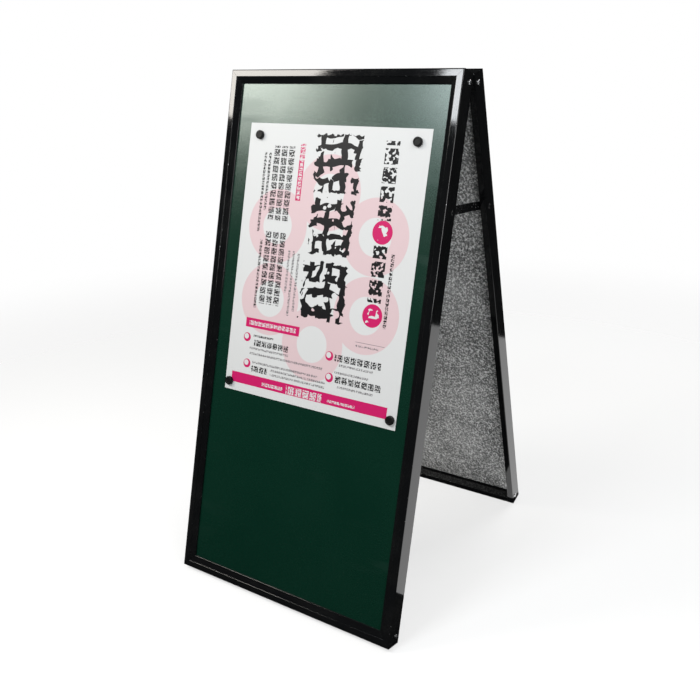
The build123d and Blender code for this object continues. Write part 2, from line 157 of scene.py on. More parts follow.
class Graph:
    """Node tree of one material or world, with one method that adds any node."""

    def __init__(self, owner: bpy.types.Material | bpy.types.World) -> None:
        """Empty the node tree of the material or world that owns it."""
        owner.use_nodes = True
        self.tree = owner.node_tree
        self.tree.nodes.clear()

    def node(
        self,
        kind: str,
        settings: dict[str, Any] | None = None,
        sockets: dict[int | str, Any] | None = None,
    ) -> bpy.types.Node:
        """Add a node, its settings first and then its sockets.

        Args:
            kind: the node's type.
            settings: attributes of the node.
            sockets: a value, another node's socket or a Value for each input named.

        Returns:
            The new node.
        """
        made = self.tree.nodes.new(kind)
        for name, setting in (settings or {}).items():
            setattr(made, name, setting)
        for name, given in (sockets or {}).items():
            source = given.socket if isinstance(given, Value) else given
            if isinstance(source, bpy.types.NodeSocket):
                self.tree.links.new(source, made.inputs[name])
            else:
                made.inputs[name].default_value = source
        return made

    def math(self, operation: str, *values: "Value | float") -> Value:
        """Add a Math node.

        Args:
            operation: what it works out.
            values: its inputs in order.

        Returns:
            Its result.
        """
        made = self.node("ShaderNodeMath", {"operation": operation}, dict(enumerate(values)))
        return Value(self, made.outputs[0])

    def place(self, stretch: Sequence[float] = (1, 1, 1)) -> bpy.types.NodeSocket:
        """Position on the object in metres, stretched along each axis."""
        source = self.node("ShaderNodeTexCoord").outputs["Object"]
        sockets = {"Vector": source, "Scale": stretch}
        return self.node("ShaderNodeMapping", {}, sockets).outputs[0]

    def attribute(self, name: str) -> Value:
        """A number that the mesh carries at its points, zero where it has none."""
        return Value(self, self.node("ShaderNodeAttribute", {"attribute_name": name}).outputs["Fac"])

    def vector(self, x: Value, y: Value) -> bpy.types.NodeSocket:
        """A flat vector of two numbers."""
        return self.node("ShaderNodeCombineXYZ", {}, {0: x, 1: y}).outputs[0]

    def distance(self, where: bpy.types.NodeSocket, x: float, y: float) -> Value:
        """How far a place is from a point in the XY plane."""
        sockets = {0: where, 1: (x, y, 0.0)}
        made = self.node("ShaderNodeVectorMath", {"operation": "DISTANCE"}, sockets)
        return Value(self, made.outputs["Value"])

    def noise(self, where: bpy.types.NodeSocket, scale: float, detail: float) -> Value:
        """Soft noise about one half, with so many features to the unit."""
        sockets = {"Vector": where, "Scale": scale, "Detail": detail}
        return Value(self, self.node("ShaderNodeTexNoise", {}, sockets).outputs[0])

    def cells(self, where: bpy.types.NodeSocket, scale: float) -> tuple[Value, Value]:
        """Grain cells: distance from each cell's middle, and a level that each cell keeps."""
        made = self.node("ShaderNodeTexVoronoi", {}, {"Vector": where, "Scale": scale})
        level = self.node("ShaderNodeSeparateColor", {}, {0: made.outputs["Color"]})
        return Value(self, made.outputs["Distance"]), Value(self, level.outputs[0])

    def colour(
        self,
        factor: "Value | float",
        first: "Colour | bpy.types.NodeSocket",
        second: "Colour | bpy.types.NodeSocket",
    ) -> bpy.types.NodeSocket:
        """Blend two colours, the first where the factor is zero."""
        filled = [(*c, 1.0) if isinstance(c, tuple) else c for c in (first, second)]
        sockets = {0: factor, 6: filled[0], 7: filled[1]}
        return self.node("ShaderNodeMix", {"data_type": "RGBA"}, sockets).outputs[2]

    def bump(self, height: Value, depth: float) -> bpy.types.NodeSocket:
        """Normal of a surface raised by a height of zero to one, over a depth in metres."""
        sockets = {"Strength": 1.0, "Distance": depth, "Height": height}
        return self.node("ShaderNodeBump", {}, sockets).outputs["Normal"]

    def surface(self, **sockets: Any) -> None:
        """End the tree in a Principled shader; a socket's spaces are written as underlines."""
        named = {name.replace("_", " "): given for name, given in sockets.items()}
        shader = self.node("ShaderNodeBsdfPrincipled", {}, named)
        self.node("ShaderNodeOutputMaterial", {}, {"Surface": shader.outputs[0]})


# ---------------------------------------------------------------- finishes


@dataclass(frozen=True)
class Pattern:
    """Soft noise, plain or with its levels between start and end spread from zero to one."""

    scale: float
    detail: float = 2.0
    start: float | None = None
    end: float = 1.0

    def on(self, graph: Graph, where: bpy.types.NodeSocket) -> Value:
        """The pattern's level at a place."""
        level = graph.noise(where, self.scale, self.detail)
        return level if self.start is None else level.ramp(self.start, self.end)


@dataclass(frozen=True)
class Finish:
    """How one material slot of the design looks."""

    slot: Slot

    def material(self) -> bpy.types.Material:
        """Make the finish's material."""
        material = bpy.data.materials.new(self.slot.value + "_finish")
        self.paint(Graph(material))
        return material

    def paint(self, graph: Graph) -> None:
        """Fill a material's node tree."""
        raise NotImplementedError


@dataclass(frozen=True)
class BlackCoat(Finish):
    """Black coat on metal: die lines along the length, settled dust, and chips on the edges."""

    coat: Colour = (0.0035, 0.0038, 0.0042)
    dust: Colour = (0.030, 0.030, 0.028)
    metal: Colour = (0.42, 0.42, 0.43)
    smooth: float = 0.05
    worn: float = 0.35
    ripple: float = 9 * UM
    dusting: float = 0.35
    chip_start: float = 0.68
    chip_reach: float = 0.04
    lines_to_girth: float = 900.0
    lines_to_length: float = 5.0
    lines: Pattern = Pattern(1.0, 3.0, 0.60, 0.72)
    settled: Pattern = Pattern(14.0, 6.0, 0.42, 0.78)
    motes: Pattern = Pattern(420.0, 4.0, 0.38, 0.70)
    specks: Pattern = Pattern(1500.0, 1.0, 0.72, 0.78)
    wear: Pattern = Pattern(150.0, 5.0)
    peel: Pattern = Pattern(620.0)
    dust_blur: float = 0.09
    line_blur: float = 0.06
    line_height: float = 0.35
    chip_depth: float = 1.5

    def paint(self, graph: Graph) -> None:
        """Fill the tree from the piece's girth, along and edge attributes and its own place."""
        where = graph.place()
        girth = graph.attribute("girth") * self.lines_to_girth
        lines = self.lines.on(graph, graph.vector(girth, graph.attribute("along") * self.lines_to_length))
        dust = self.settled.on(graph, where) * self.motes.on(graph, where)
        specks = self.specks.on(graph, where) * self.dusting
        worn = graph.attribute("edge") * self.wear.on(graph, where)
        chips = worn.ramp(self.chip_start, self.chip_start + self.chip_reach)
        tone = graph.colour(dust * self.dusting, self.coat, self.dust)
        tone = graph.colour(specks, tone, self.dust)
        tone = graph.colour(chips, tone, self.metal)
        gloss = self.smooth + dust * self.dust_blur + lines * self.line_blur
        gloss += chips * (self.worn - self.smooth)
        height = self.peel.on(graph, where) + lines * self.line_height - chips * self.chip_depth
        normal = graph.bump(height, self.ripple)
        graph.surface(Base_Color=tone, Roughness=gloss, Metallic=chips, Normal=normal)


@dataclass(frozen=True)
class GreenEnamel(Finish):
    """Satin writing-board enamel with a fine tooth and wiped smears."""

    green: Colour = (0.0004, 0.0225, 0.0120)
    deep: Colour = (0.0003, 0.0165, 0.0088)
    film: Colour = (0.052, 0.098, 0.086)
    sheen: Colour = (0.86, 1.0, 0.96)
    smooth: float = 0.265
    shine: float = 0.74
    tooth: float = 14 * UM
    mottle: Pattern = Pattern(6.0, 4.0)
    grain: Pattern = Pattern(950.0, 3.0)
    wipes: Pattern = Pattern(1.0, 5.0, 0.50, 0.78)
    wipe_stretch: tuple[float, float, float] = (3.0, 26.0, 26.0)
    wiped: Pattern = Pattern(3.0, 2.0, 0.45, 0.70)
    pores: tuple[float, float] = (0.35, 0.75)
    pore_shade: float = 0.25
    smear_tint: float = 0.10
    smear_blur: float = 0.12
    uneven: float = 0.10

    def paint(self, graph: Graph) -> None:
        """Fill the tree."""
        where = graph.place()
        mottle = self.mottle.on(graph, where)
        grain = self.grain.on(graph, where)
        smears = self.wipes.on(graph, graph.place(self.wipe_stretch)) * self.wiped.on(graph, where)
        tone = graph.colour(mottle, self.deep, self.green)
        tone = graph.colour(grain.ramp(*self.pores) * self.pore_shade, tone, self.deep)
        tone = graph.colour(smears * self.smear_tint, tone, self.film)
        gloss = self.smooth + smears * self.smear_blur + (mottle - NOISE_MIDDLE) * self.uneven
        graph.surface(
            Base_Color=tone,
            Roughness=gloss + (grain - NOISE_MIDDLE) * self.uneven,
            Specular_IOR_Level=self.shine,
            Specular_Tint=(*self.sheen, 1.0),
            Normal=graph.bump(grain, self.tooth),
        )


@dataclass(frozen=True)
class Galvanised(Finish):
    """Grey galvanised sheet: spangled crystals under a coarse speckle, with pale bloom."""

    dark: Colour = (0.16, 0.165, 0.165)
    light: Colour = (0.86, 0.87, 0.87)
    pit: Colour = (0.045, 0.048, 0.048)
    smooth: float = 0.46
    relief: float = 45 * UM
    crystal_scale: float = 75.0
    speckle: Pattern = Pattern(185.0)
    speckled: tuple[float, float] = (0.42, 0.58)
    bloom: Pattern = Pattern(5.0, 5.0, 0.35, 0.75)
    pits: Pattern = Pattern(260.0, 2.0, 0.53, 0.42)
    crystal_share: float = 0.20
    speckle_share: float = 0.80
    pit_share: float = 0.80
    bloom_share: float = 0.20
    crystal_blur: float = 0.14
    bloom_blur: float = 0.12
    metallic: float = 0.30
    bloom_dulling: float = 0.15
    speckle_height: float = 0.8
    crystal_height: float = 0.5

    def paint(self, graph: Graph) -> None:
        """Fill the tree."""
        where = graph.place()
        spread, level = graph.cells(where, self.crystal_scale)
        speckle = self.speckle.on(graph, where)
        bloom = self.bloom.on(graph, where)
        pale = level * self.crystal_share + speckle.ramp(*self.speckled) * self.speckle_share
        tone = graph.colour(pale, self.dark, self.light)
        tone = graph.colour(self.pits.on(graph, where) * self.pit_share, tone, self.pit)
        tone = graph.colour(bloom * self.bloom_share, tone, self.light)
        height = speckle * self.speckle_height + spread * self.crystal_height
        graph.surface(
            Base_Color=tone,
            Roughness=self.smooth + level * self.crystal_blur + bloom * self.bloom_blur,
            Metallic=self.metallic - bloom * self.bloom_dulling,
            Normal=graph.bump(height, self.relief),
        )


@dataclass(frozen=True)
class BareMetal(Finish):
    """Uncoated metal with a fine grain, tarnished in patches."""

    bright: Colour = (0.74, 0.75, 0.77)
    tarnish: Colour = (0.40, 0.385, 0.35)
    smooth: float = 0.22
    relief: float = 6 * UM
    grain: Pattern = Pattern(1400.0, 3.0)
    patches: Pattern = Pattern(130.0, 5.0, 0.45, 0.75)
    patch_share: float = 0.6
    grain_share: float = 0.2
    patch_blur: float = 0.22
    grain_blur: float = 0.08

    def paint(self, graph: Graph) -> None:
        """Fill the tree."""
        where = graph.place()
        grain = self.grain.on(graph, where)
        patches = self.patches.on(graph, where)
        dulled = patches * self.patch_share + grain * self.grain_share
        tone = graph.colour(dulled, self.bright, self.tarnish)
        gloss = self.smooth + patches * self.patch_blur + grain * self.grain_blur
        graph.surface(Base_Color=tone, Roughness=gloss, Metallic=1.0, Normal=graph.bump(grain, self.relief))


@dataclass(frozen=True)
class DullSolid(Finish):
    """Matt filled material, such as moulded plastic, fired ferrite or pressed fibre."""

    base: Colour = (0.010, 0.010, 0.010)
    fleck: Colour = (0.030, 0.030, 0.030)
    smooth: float = 0.42
    shine: float = 0.50
    relief: float = 18 * UM
    grain: Pattern = Pattern(1800.0, 3.0)
    flecked: tuple[float, float] = (0.45, 0.75)
    rub: Pattern = Pattern(160.0, 4.0, 0.45, 0.80)
    rub_share: float = 0.4
    edge_share: float = 0.6
    grain_blur: float = 0.16
    rub_polish: float = 0.08

    def paint(self, graph: Graph) -> None:
        """Fill the tree."""
        where = graph.place()
        grain = self.grain.on(graph, where)
        rub = self.rub.on(graph, where)
        tone = graph.colour(grain.ramp(*self.flecked), self.base, self.fleck)
        tone = graph.colour(rub * self.rub_share, tone, self.fleck)
        tone = graph.colour(graph.attribute("edge") * rub * self.edge_share, tone, self.fleck)
        gloss = self.smooth + (grain - NOISE_MIDDLE) * self.grain_blur - rub * self.rub_polish
        normal = graph.bump(grain, self.relief)
        graph.surface(Base_Color=tone, Roughness=gloss, Specular_IOR_Level=self.shine, Normal=normal)


class Ink(Enum):
    """Inks of the printed sheet."""

    BLACK = (0.004, 0.004, 0.005)
    GREY = (0.14, 0.135, 0.14)
    MAGENTA = (0.44, 0.006, 0.095)
    PINK = (0.525, 0.402, 0.418)
    PAPER = (0.515, 0.524, 0.524)


class Mark(Enum):
    """How a block of the print is filled."""

    SOLID = "solid"
    BRUSH = "brush"
    COLUMN = "column"
    ROW = "row"
    DISC = "disc"


# Blocks of the print by ink and mark, in the order they are laid down: middle across and down from
# the sheet's top left corner, half width and half height, all in millimetres.
LAYOUT = (
    (Ink.BLACK, Mark.BRUSH, ((253, 81, 60, 62), (253, 217, 56, 60), (253, 358, 60, 63))),
    (Ink.BLACK, Mark.COLUMN, ((387, 109, 17, 82), (387, 304, 17, 60))),
    (Ink.MAGENTA, Mark.DISC, ((387, 216, 25, 25), (387, 392, 25, 25))),
    (Ink.PAPER, Mark.BRUSH, ((387, 216, 11, 13), (387, 392, 12, 13))),
    (Ink.BLACK, Mark.COLUMN, (
        (420, 336, 4, 79), (84, 132, 8, 83), (105, 132, 8, 83), (126, 132, 8, 83), (84, 325, 8, 83),
        (105, 325, 8, 83), (126, 325, 8, 83), (52, 154, 3.5, 90), (65, 130, 3.5, 65), (65, 341, 3.5, 79),
    )),
    (Ink.GREY, Mark.COLUMN, ((149, 326, 3, 48), (162, 352, 3, 73), (176, 348, 3, 65))),
    (Ink.MAGENTA, Mark.SOLID, ((156, 122, 7, 45),)),
    (Ink.PAPER, Mark.COLUMN, ((156, 114, 4.5, 50),)),
    (Ink.MAGENTA, Mark.COLUMN, ((156, 58, 7, 16),)),
    (Ink.MAGENTA, Mark.SOLID, ((123, 456, 78, 11),)),
    (Ink.PAPER, Mark.ROW, ((123, 456, 68, 5),)),
    (Ink.GREY, Mark.SOLID, ((390, 453, 37, 0.5),)),
    (Ink.GREY, Mark.ROW, ((384, 461, 30, 2),)),
    (Ink.MAGENTA, Mark.DISC, (
        (53, 491, 10.5, 10.5), (60, 552, 10.5, 10.5), (290, 495, 10.5, 10.5), (296, 542, 10.5, 10.5),
    )),
    (Ink.PAPER, Mark.DISC, (
        (51, 489, 6.5, 6.5), (58, 550, 6.5, 6.5), (288, 493, 6.5, 6.5), (294, 540, 6.5, 6.5),
    )),
    (Ink.BLACK, Mark.ROW, ((101, 485, 29, 2.5), (125, 501, 50, 7))),
    (Ink.GREY, Mark.ROW, ((120, 515, 57, 2.5), (170, 527, 105, 2.5))),
    (Ink.BLACK, Mark.ROW, ((98, 562, 24, 7),)),
    (Ink.GREY, Mark.ROW, ((170, 547, 94, 2.5), (208, 557, 78, 2.5), (208, 567, 78, 2.5))),
    (Ink.BLACK, Mark.ROW, ((364, 496, 60, 7.5),)),
    (Ink.GREY, Mark.ROW, ((362, 511, 44, 2.5), (352, 528, 44, 2.5))),
    (Ink.BLACK, Mark.ROW, ((370, 543, 60, 7.5),)),
    (Ink.GREY, Mark.ROW, ((366, 559, 46, 2.5),)),
    (Ink.MAGENTA, Mark.SOLID, ((235, 590, 217, 12.5),)),
    (Ink.PAPER, Mark.ROW, ((141, 593, 31, 4), (232, 592, 50, 9), (334, 594, 37, 3))),
)


@dataclass(frozen=True)
class Block:
    """One block of the print, in millimetres from the sheet's top left corner."""

    ink: Ink
    mark: Mark
    x: float
    y: float
    half_width: float
    half_height: float


@dataclass(frozen=True)
class Stroke:
    """Brush strokes that run one way: wave direction, share left bare, and scale of the lifts."""

    bands: str
    bare: float
    lift_scale: float


@dataclass(frozen=True)
class PosterPrint(Finish):
    """Notice with abstract brush marks, dummy columns and rows, pink rings and magenta bands."""

    width: float = 477.0
    height: float = 622.0
    ring_count: int = 6
    ring_circle: float = 152.0
    ring_stretch: float = 1.1
    ring_radius: float = 62.0
    ring_half_width: float = 21.0
    smooth: float = 0.50
    shine: float = 0.20
    fibre: float = 10 * UM
    fibre_tone: Colour = (0.48, 0.48, 0.466)
    fibres: Pattern = Pattern(900.0, 5.0)
    fibre_seen: tuple[float, float] = (0.3, 0.8)
    fibre_share: float = 0.12
    fibre_blur: float = 0.06
    ink_polish: float = 0.05
    stray: Pattern = Pattern(0.07, 3.0)
    stray_reach: float = 26.0
    column_scale: float = 0.11
    row_scale: float = 0.34
    inked_from: float = 0.46
    pitch: float = 2.3
    half_line: float = 0.42
    large_half: float = 10.0
    strokes: tuple[Stroke, ...] = (Stroke("X", 0.60, 0.031), Stroke("Y", 0.50, 0.043))
    wave: tuple[tuple[str, float], ...] = (
        ("Scale", 0.0098), ("Distortion", 6.0), ("Detail", 2.0), ("Detail Scale", 1.3),
    )
    lifted_from: float = 0.44

    def blocks(self) -> list[Block]:
        """The print's blocks in the order they are laid down."""
        return [Block(ink, mark, *spot) for ink, mark, spots in LAYOUT for spot in spots]

    def mask(
        self, block: Block, across: Value, down: Value, wander: Value, strokes: dict[Mark, Value]
    ) -> Value:
        """One where a block is inked.

        Args:
            block: the block.
            across: place across the sheet, in millimetres.
            down: place down the sheet, in millimetres.
            wander: how far a brushed edge strays, in millimetres.
            strokes: ink patterns of the marks that have one.

        Returns:
            Its mask.
        """
        graph = across.graph
        if block.mark is Mark.DISC:
            return graph.distance(graph.vector(across, down), block.x, block.y) < block.half_width
        if block.mark is Mark.BRUSH:
            ragged = (across + wander).near(block.x, block.half_width)
            return ragged * (down - wander).near(block.y, block.half_height) * strokes[Mark.BRUSH]
        inside = across.near(block.x, block.half_width) * down.near(block.y, block.half_height)
        if block.mark is Mark.SOLID:
            return inside
        upright = block.mark is Mark.COLUMN
        pitch = self.pitch * (block.half_width if upright else block.half_height)
        gaps = ((down if upright else across) / pitch).fraction().near(0.5, self.half_line)
        large = min(block.half_width, block.half_height) > self.large_half
        return inside * gaps * strokes[Mark.COLUMN if large else Mark.ROW]

    def paint(self, graph: Graph) -> None:
        """Fill the tree from the sheet's own UV map, which runs from zero to one each way."""
        uv = graph.node("ShaderNodeUVMap", {"uv_map": "sheet"}).outputs[0]
        split = graph.node("ShaderNodeSeparateXYZ", {}, {0: uv})
        across = Value(graph, split.outputs[0]) * self.width
        down = (1.0 - Value(graph, split.outputs[1])) * self.height
        flat = graph.vector(across, down)
        wander = (self.stray.on(graph, flat) - NOISE_MIDDLE) * self.stray_reach
        first, second = (self.brushed(graph, flat, stroke) for stroke in self.strokes)
        strokes = {
            Mark.BRUSH: first.highest(second),
            Mark.COLUMN: graph.noise(flat, self.column_scale, 1.0) > self.inked_from,
            Mark.ROW: graph.noise(flat, self.row_scale, 1.0) > self.inked_from,
        }
        fibres = self.fibres.on(graph, graph.place())
        seen = fibres.ramp(*self.fibre_seen) * self.fibre_share
        tone = graph.colour(seen, Ink.PAPER.value, self.fibre_tone)
        tone = graph.colour(self.ring_mask(graph, flat), tone, Ink.PINK.value)
        inked: Value | float = 0.0
        for block in self.blocks():
            mask = self.mask(block, across, down, wander, strokes)
            tone = graph.colour(mask, tone, block.ink.value)
            inked = mask.highest(inked)
        gloss = self.smooth + fibres * self.fibre_blur - inked * self.ink_polish
        normal = graph.bump(fibres, self.fibre)
        graph.surface(Base_Color=tone, Roughness=gloss, Specular_IOR_Level=self.shine, Normal=normal)

    def brushed(self, graph: Graph, flat: bpy.types.NodeSocket, stroke: Stroke) -> Value:
        """Mask of unsteady brush strokes that run one way."""
        sockets = {"Vector": flat, **dict(self.wave)}
        wave = graph.node("ShaderNodeTexWave", {"bands_direction": stroke.bands}, sockets)
        lifted = graph.noise(flat, stroke.lift_scale, 1.0) > self.lifted_from
        return (Value(graph, wave.outputs["Fac"]) > stroke.bare) * lifted

    def ring_mask(self, graph: Graph, flat: bpy.types.NodeSocket) -> Value:
        """Mask of the pale rings, set evenly round the sheet's middle."""
        total: Value | float = 0.0
        for index in range(self.ring_count):
            turn = 2 * pi * (index + 0.5) / self.ring_count
            x = self.width / 2 + self.ring_circle * cos(turn)
            y = self.height / 2 + self.ring_circle * self.ring_stretch * sin(turn)
            ring = graph.distance(flat, x, y).near(self.ring_radius, self.ring_half_width)
            total = ring.highest(total)
        return total


FINISHES = (
    BlackCoat(Slot.FRAME),
    GreenEnamel(Slot.BOARD),
    DullSolid(
        Slot.CORE,
        base=(0.30, 0.21, 0.12),
        fleck=(0.46, 0.36, 0.24),
        smooth=0.85,
        grain=Pattern(900.0, 3.0),
        relief=60 * UM,
    ),
    Galvanised(Slot.BACK),
    BareMetal(
        Slot.KEY,
        bright=(0.62, 0.62, 0.63),
        tarnish=(0.36, 0.36, 0.35),
        smooth=0.42,
        grain=Pattern(700.0, 3.0),
        relief=30 * UM,
    ),
    BareMetal(Slot.SCREW),
    BlackCoat(Slot.HINGE, smooth=0.30, ripple=16 * UM, chip_start=0.62),
    BlackCoat(Slot.STAY, smooth=0.26, ripple=14 * UM, chip_start=0.62),
    PosterPrint(Slot.PAPER),
    DullSolid(Slot.MAGNET, base=(0.004, 0.004, 0.004), fleck=(0.014, 0.014, 0.014), shine=0.14),
    DullSolid(
        Slot.FERRITE,
        base=(0.035, 0.034, 0.036),
        fleck=(0.09, 0.09, 0.092),
        smooth=0.58,
        grain=Pattern(2600.0, 3.0),
    ),
)


# ---------------------------------------------------------------- mesh work


class Shape:
    """A bmesh under way, with the operators that the board's pieces share."""

    flat_weight = 90
    crease = 32.0

    def __init__(self) -> None:
        """Start with an empty mesh that carries the numbers the finishes read."""
        self.mesh = bmesh.new()
        layers = self.mesh.verts.layers.float
        self.edge = layers.new("edge")
        self.along = layers.new("along")
        self.girth = layers.new("girth")

    def outline(self, corners: Iterable[tuple[float, float, float]], segments: int = 5) -> bmesh.types.BMFace:
        """Draw a flat face in the XY plane and round its corners.

        Args:
            corners: x, y and rounding of each corner, in order.
            segments: pieces in each rounding.

        Returns:
            The face, with its roundings marked as edges that wear.
        """
        points = [(self.mesh.verts.new((x, y, 0.0)), radius) for x, y, radius in corners]
        self.mesh.faces.new([vertex for vertex, radius in points])
        for vertex, radius in points:
            made = bmesh.ops.bevel(
                self.mesh,
                geom=[vertex],
                offset=radius,
                segments=segments,
                profile=0.5,
                affect="VERTICES",
                material=-1,
            )
            fresh = set(made["verts"])
            for each in fresh:
                worn = all(link.other_vert(each) in fresh for link in each.link_edges)
                each[self.edge] = 1.0 if worn else 0.0
        self.mesh.faces.ensure_lookup_table()
        return self.mesh.faces[-1]

    def extrude(self, face: bmesh.types.BMFace, move: Vector) -> list[bmesh.types.BMVert]:
        """Extrude a face into a solid and return the moved points."""
        made = bmesh.ops.extrude_face_region(self.mesh, geom=[face])
        moved = [item for item in made["geom"] if isinstance(item, bmesh.types.BMVert)]
        bmesh.ops.translate(self.mesh, vec=move, verts=moved)
        return moved

    def cut(self, point: Vector, normal: Vector) -> list[bmesh.types.BMFace]:
        """Cut away what is beyond a plane, close the cut and return its face."""
        everything = [*self.mesh.verts, *self.mesh.edges, *self.mesh.faces]
        made = bmesh.ops.bisect_plane(
            self.mesh, geom=everything, dist=WELD, plane_co=point, plane_no=normal, clear_outer=True
        )
        rim = [item for item in made["geom_cut"] if isinstance(item, bmesh.types.BMEdge)]
        return bmesh.ops.holes_fill(self.mesh, edges=rim, sides=0)["faces"]

    def bevel(self, edges: Iterable[bmesh.types.BMEdge], width: float, segments: int = 3) -> None:
        """Round edges and mark the rounding as an edge that wears."""
        made = bmesh.ops.bevel(
            self.mesh,
            geom=list(edges),
            offset=width,
            segments=segments,
            profile=0.5,
            affect="EDGES",
            clamp_overlap=True,
            material=-1,
        )
        rounding = set(made["faces"])
        for each in made["verts"]:
            if all(face in rounding for face in each.link_faces):
                each[self.edge] = 1.0

    def turn(
        self, profile: Sequence[tuple[float, float]], steps: int
    ) -> tuple[list[bmesh.types.BMVert], list[bmesh.types.BMFace]]:
        """Turn a profile of radius and height about the Z axis into a closed solid.

        Args:
            profile: points from the axis, round the outside and back to the axis.
            steps: pieces in a full turn.

        Returns:
            The new points and faces.
        """
        kept = set(self.mesh.verts)
        chain = [self.mesh.verts.new((radius, 0.0, height)) for radius, height in profile]
        edges = [self.mesh.edges.new(pair) for pair in zip(chain, chain[1:])]
        bmesh.ops.spin(
            self.mesh,
            geom=[*chain, *edges],
            cent=(0, 0, 0),
            axis=(0, 0, 1),
            angle=2 * pi,
            steps=steps,
            use_merge=True,
        )
        made = [vertex for vertex in self.mesh.verts if vertex not in kept]
        bmesh.ops.remove_doubles(self.mesh, verts=made, dist=WELD)
        verts = [vertex for vertex in self.mesh.verts if vertex not in kept]
        faces = list({face for vertex in verts for face in vertex.link_faces})
        bmesh.ops.recalc_face_normals(self.mesh, faces=faces)
        return verts, faces

    def face_outwards(self) -> None:
        """Turn every face outwards."""
        bmesh.ops.recalc_face_normals(self.mesh, faces=self.mesh.faces)

    def ring(
        self, verts: Iterable[bmesh.types.BMVert], radius: float, height: float
    ) -> list[bmesh.types.BMEdge]:
        """Edges of the circle that lies at a radius and a height about the Z axis."""
        near = {
            v
            for v in verts
            if v.is_valid and abs(v.co.z - height) < SAME_PLACE and abs(v.co.xy.length - radius) < SAME_PLACE
        }
        return list({edge for v in near for edge in v.link_edges if edge.other_vert(v) in near})

    def press(self, faces: Sequence[bmesh.types.BMFace], move: Vector, narrowing: float) -> None:
        """Press a patch of faces in or out, narrowing it as it goes."""
        edges = {edge for face in faces for edge in face.edges}
        verts = {vertex for face in faces for vertex in face.verts}
        made = bmesh.ops.extrude_face_region(self.mesh, geom=[*faces, *edges, *verts])
        moved = [item for item in made["geom"] if isinstance(item, bmesh.types.BMVert)]
        bmesh.ops.translate(self.mesh, vec=move, verts=moved)
        bmesh.ops.scale(self.mesh, vec=(narrowing, narrowing, 1.0), verts=moved)

    def place(self, matrix: Matrix, verts: Iterable[bmesh.types.BMVert]) -> None:
        """Move points from where they were made to where they belong."""
        bmesh.ops.transform(self.mesh, matrix=matrix, verts=list(verts))

    def settle(self, matrix: Matrix) -> None:
        """Mark the points made since the last call as turned work and move them to their place."""
        fresh = [vertex for vertex in self.mesh.verts if not vertex[self.girth]]
        for vertex in fresh:
            vertex[self.girth] = 1.0
        self.place(matrix, fresh)

    def finish(self, name: str, body: str, slot: Slot, node: str) -> bpy.types.Object:
        """Make the object, dress it and hang it on its body.

        Args:
            name: the piece's name.
            body: the body it moves with.
            slot: the slot its finish comes from.
            node: the node of the design that it stands for.

        Returns:
            The finished object.
        """
        data = bpy.data.meshes.new(name)
        self.mesh.to_mesh(data)
        self.mesh.free()
        data.polygons.foreach_set("use_smooth", [True] * len(data.polygons))
        data.set_sharp_from_angle(angle=radians(self.crease))
        piece = bpy.data.objects.new(name, data)
        bpy.context.scene.collection.objects.link(piece)
        piece.data.materials.append(Workshop.finish(slot))
        levelled = piece.modifiers.new("level_flats", "WEIGHTED_NORMAL")
        levelled.mode = "FACE_AREA"
        levelled.weight = self.flat_weight
        levelled.keep_sharp = True
        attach(piece, body)
        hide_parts(node)
        log.info("%s: %d faces on %s", name, len(data.polygons), body)
        return piece


class Workshop:
    """Keeps one material for each slot."""

    made: dict[Slot, bpy.types.Material] = {}

    @classmethod
    def finish(cls, slot: Slot) -> bpy.types.Material:
        """The material of a slot, made when it is first asked for."""
        if slot not in cls.made:
            cls.made[slot] = next(each for each in FINISHES if each.slot is slot).material()
        return cls.made[slot]


# ---------------------------------------------------------------- panels and their frames


@dataclass(frozen=True)
class Panel:
    """One framed board's own axes, from the middle of its top edge on its inner face."""

    name: str
    origin: Vector
    across: Vector
    out: Vector

    @classmethod
    def find(cls, name: str, side: int) -> "Panel":
        """Find a panel's axes from the fold, the magnets' travel and the top rail.

        Args:
            name: front or rear.
            side: -1 for the front panel, 1 for the rear one.

        Returns:
            The panel.
        """
        joints = {joint["name"]: joint for joint in frame["joints"]}
        lift = joints["magnet_top_left_lift"]["axis"]
        out = Vector((0.0, -side * lift[1], lift[2])).normalized()
        rough = cls(name, Vector(joints["fold"]["pos_m"]), -side * X_AXIS, out)
        low, high = rough.span(f"{name}_rail_top")
        return replace(rough, origin=rough.matrix @ Vector((0.0, high.y, low.z)))

    @property
    def body(self) -> str:
        """The body that the panel is."""
        return f"{self.name}_panel"

    @property
    def matrix(self) -> Matrix:
        """Turns a place in the panel into a place in the whole board."""
        up = self.out.cross(self.across)
        turned = Matrix((self.across, up, self.out)).transposed().to_4x4()
        return Matrix.Translation(self.origin) @ turned

    def span(self, node: str) -> tuple[Vector, Vector]:
        """Lowest and highest corner of a node of the design, in the panel's axes."""
        inverse = self.matrix.inverted()
        places = [inverse @ vertex.co for vertex in frame["nodes"][node].data.vertices]
        low = Vector([min(place[axis] for place in places) for axis in range(3)])
        high = Vector([max(place[axis] for place in places) for axis in range(3)])
        return low, high

    def basis(self, x: Vector, y: Vector, z: Vector, origin: Vector) -> Matrix:
        """Matrix from a piece's own axes, given in the panel's, to the whole board."""
        turned = Matrix((x, y, z)).transposed().to_4x4()
        return self.matrix @ Matrix.Translation(origin) @ turned


